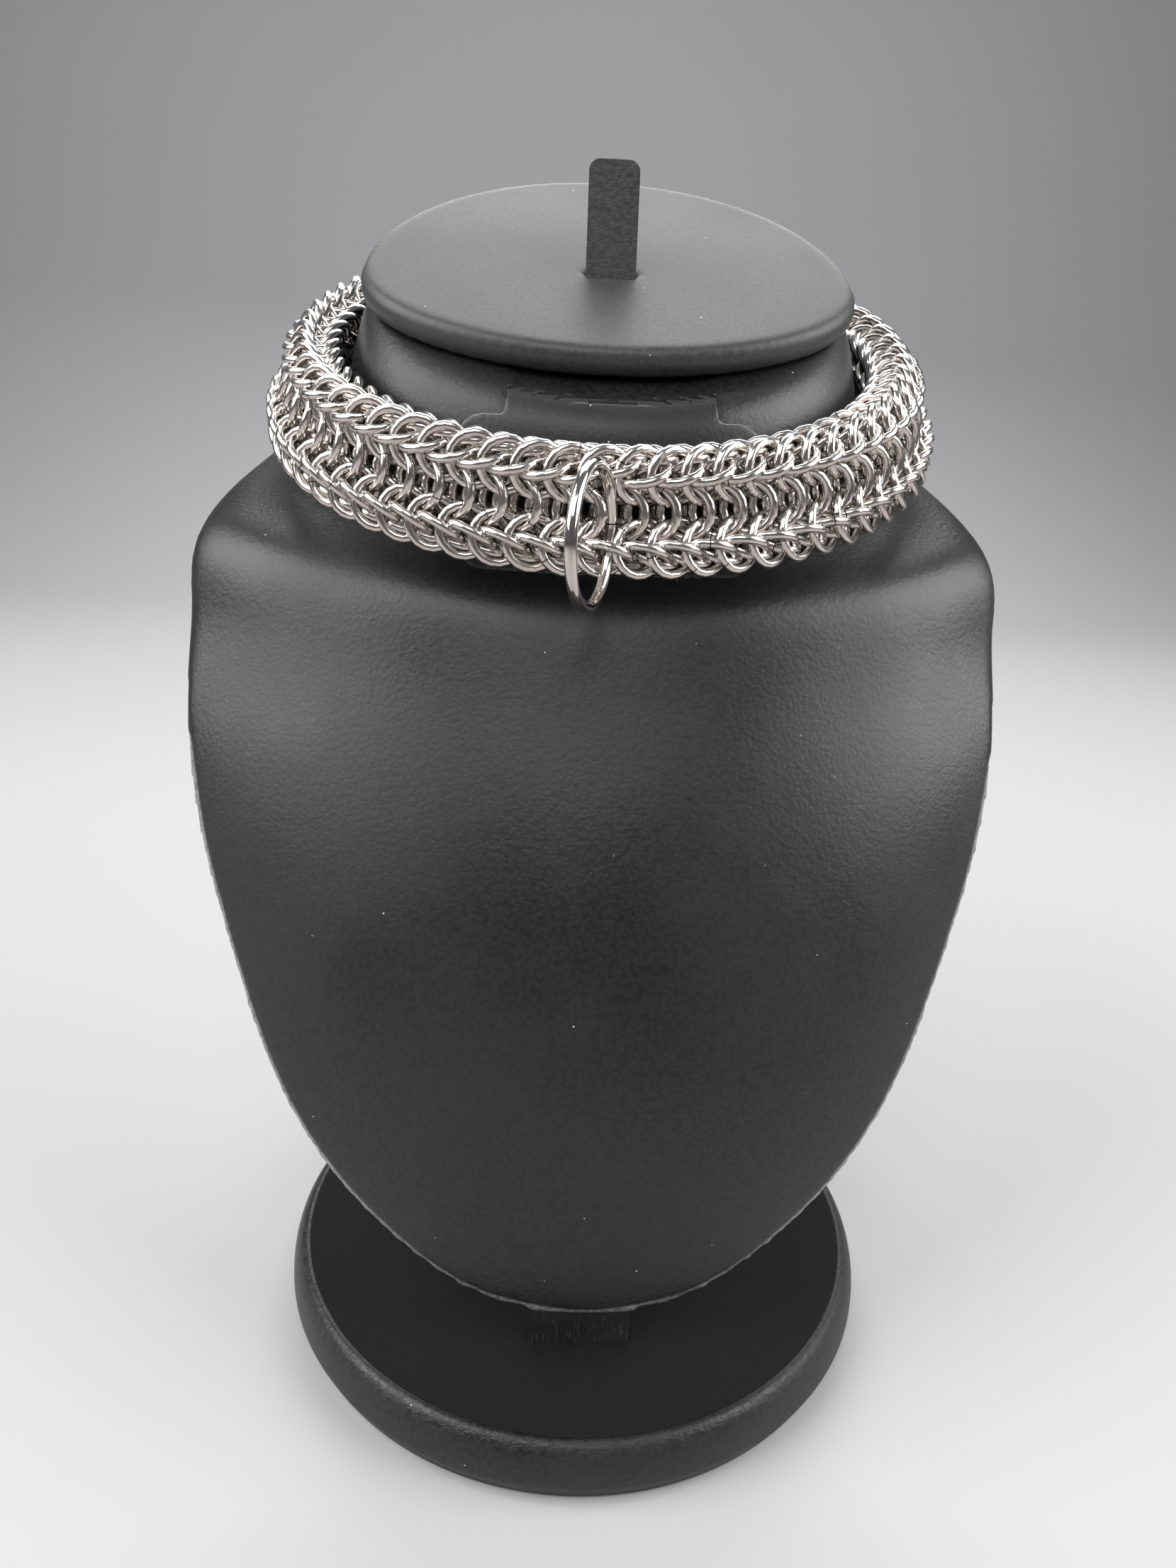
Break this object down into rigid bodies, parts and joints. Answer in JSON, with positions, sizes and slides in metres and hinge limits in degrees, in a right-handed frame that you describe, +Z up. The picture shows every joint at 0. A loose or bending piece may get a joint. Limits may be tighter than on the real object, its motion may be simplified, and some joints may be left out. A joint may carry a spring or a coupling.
{
  "type": "chainmail necklace on a neck bust display stand",
  "caption": "Close-fitting stainless steel chainmail collar with a large ring at the front, on a black leatherette neck bust with a round velvet-topped base.",
  "frame": {"origin": "middle of the round base's underside, on the surface that the stand rests on", "axes": "+Z up, -Y towards the front, where the large ring is, +X to the viewer's right seen from the front"},
  "size_m": [0.2014, 0.2017, 0.2802],
  "materials": {
    "leatherette": "fine-grained satin leatherette",
    "velvet": "short matte pile",
    "bar_black": "matte",
    "steel": "polished stainless steel"
  },
  "bodies": {
    "stand_and_collar": {"base": "leatherette", "base_velvet": "velvet", "support_bar": "bar_black", "bust": "leatherette", "neck_plate": "leatherette", "tongue": "leatherette", "front_flap": "leatherette", "chainmail_band": "steel", "rear_link": "steel"},
    "ring": {"front_ring": "steel"}
  },
  "joints": [
    {"name": "front_ring_swing", "type": "hinge", "parent": "stand_and_collar", "child": "ring", "pos_m": [0, -0.013, 0.2002], "axis": [0, 0, 1], "range_deg": [-16, 53]}
  ]
}
